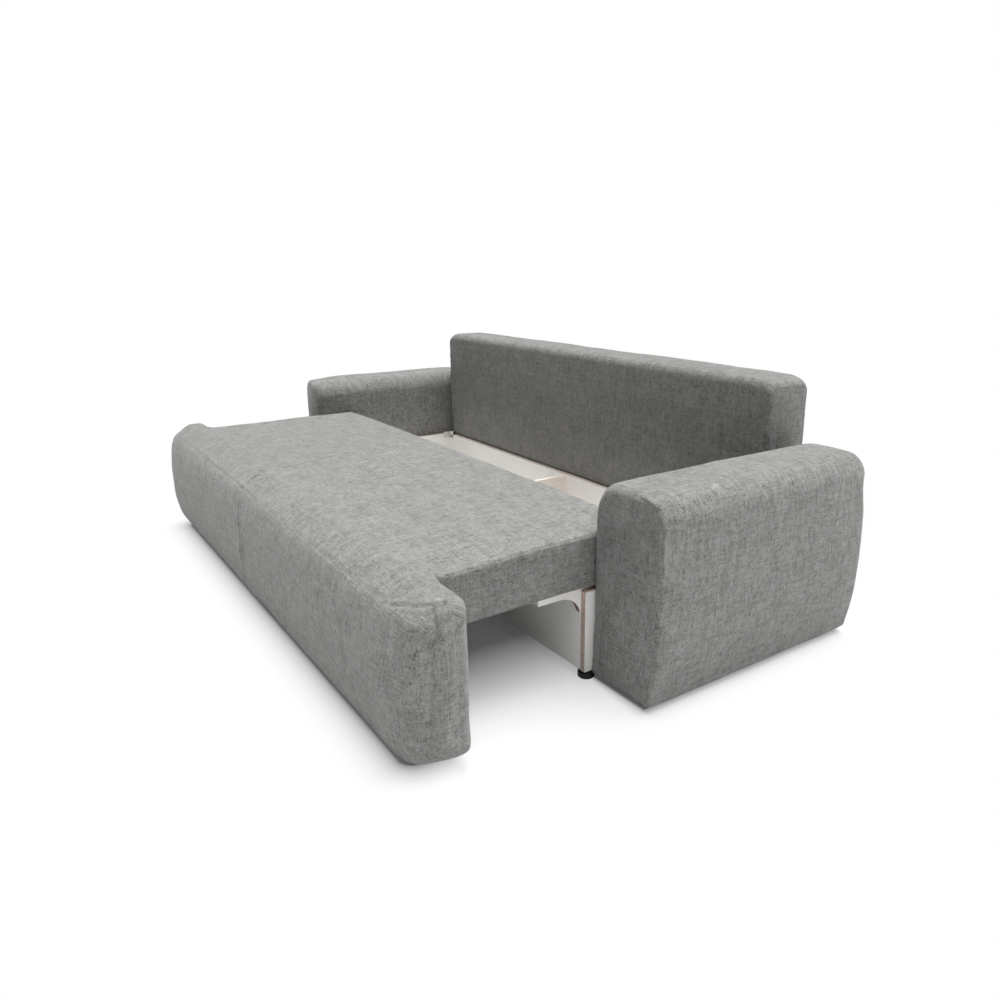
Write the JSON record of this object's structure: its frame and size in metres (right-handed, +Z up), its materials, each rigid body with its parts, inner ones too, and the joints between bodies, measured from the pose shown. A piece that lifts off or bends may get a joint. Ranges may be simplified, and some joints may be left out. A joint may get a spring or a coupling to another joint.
{
  "type": "sofa bed",
  "caption": "Wide pull-out sofa bed with padded arms, a seat unit that rolls forward on castors, a fold-down backrest and a bedding box.",
  "frame": {"origin": "middle of the floor area that the sofa bed covers with its seat pulled out", "axes": "+X to the right of a viewer who faces the sofa, +Y to its back, +Z up"},
  "size_m": [2.5204, 1.486, 0.7634],
  "materials": {
    "upholstery": "melange chenille weave, grey",
    "white_laminate": "white laminated chipboard with raw edges",
    "pine": "unfinished softwood",
    "hardboard": "plain brown hardboard",
    "lining": "black non-woven dust cover",
    "black_steel": "satin black",
    "zinc_steel": "bright zinc plate",
    "black_plastic": "moulded black"
  },
  "bodies": {
    "frame": {"box_side_board_left": "white_laminate", "box_side_board_right": "white_laminate", "box_front_wall": "white_laminate", "box_rear_wall": "white_laminate", "box_partition": "pine", "box_bottom_panel": "hardboard", "box_bottom_battens": "pine", "box_corner_blocks": "pine", "rear_ledge": "pine", "rear_panel": "hardboard", "runner_left": "pine", "runner_right": "pine", "box_feet": "black_plastic", "arm_cover_left": "upholstery", "arm_cover_right": "upholstery", "arm_side_boards_left": "pine", "arm_side_boards_right": "pine", "arm_cross_boards_left": "pine", "arm_cross_boards_right": "pine", "arm_bottom_board_left": "pine", "arm_bottom_board_right": "pine", "arm_feet": "black_plastic", "arm_bolts": "zinc_steel", "pivot_bracket_left": "black_steel", "pivot_bracket_right": "black_steel", "pivot_pins": "zinc_steel"},
    "seat": {"seat_cushion": "upholstery", "seat_long_rails": "pine", "seat_cross_rails": "pine", "seat_deck": "hardboard", "seat_lining": "lining", "guide_rail_left": "white_laminate", "guide_rail_right": "white_laminate", "panel_cover": "upholstery", "panel_long_rails": "pine", "panel_uprights": "pine", "panel_back_board": "white_laminate", "castor_forks": "zinc_steel", "castor_axles": "zinc_steel"},
    "backrest": {"backrest_cushion": "upholstery", "backrest_long_rails": "pine", "backrest_uprights": "pine", "backrest_board": "hardboard", "pivot_lever_left": "black_steel", "pivot_lever_right": "black_steel"},
    "wheel_1": {"castor_wheel_1": "black_plastic"},
    "wheel_2": {"castor_wheel_2": "black_plastic"},
    "wheel_3": {"castor_wheel_3": "black_plastic"},
    "wheel_4": {"castor_wheel_4": "black_plastic"}
  },
  "joints": [
    {"name": "seat_slide", "type": "slide", "parent": "frame", "child": "seat", "axis": [0, 1, 0], "range_m": [0, 0.445]},
    {"name": "backrest_fold", "type": "hinge", "parent": "frame", "child": "backrest", "pos_m": [0, 0.558, 0.2614], "axis": [-1, 0, 0], "range_deg": [-90, 0]},
    {"name": "castor_spin_1", "type": "hinge", "parent": "seat", "child": "wheel_1", "pos_m": [-1.01, -0.6375, 0.02], "axis": [1, 0, 0], "continuous": true},
    {"name": "castor_spin_2", "type": "hinge", "parent": "seat", "child": "wheel_2", "pos_m": [-0.36, -0.6375, 0.02], "axis": [1, 0, 0], "continuous": true},
    {"name": "castor_spin_3", "type": "hinge", "parent": "seat", "child": "wheel_3", "pos_m": [0.36, -0.6375, 0.02], "axis": [1, 0, 0], "continuous": true},
    {"name": "castor_spin_4", "type": "hinge", "parent": "seat", "child": "wheel_4", "pos_m": [1.01, -0.6375, 0.02], "axis": [1, 0, 0], "continuous": true}
  ]
}
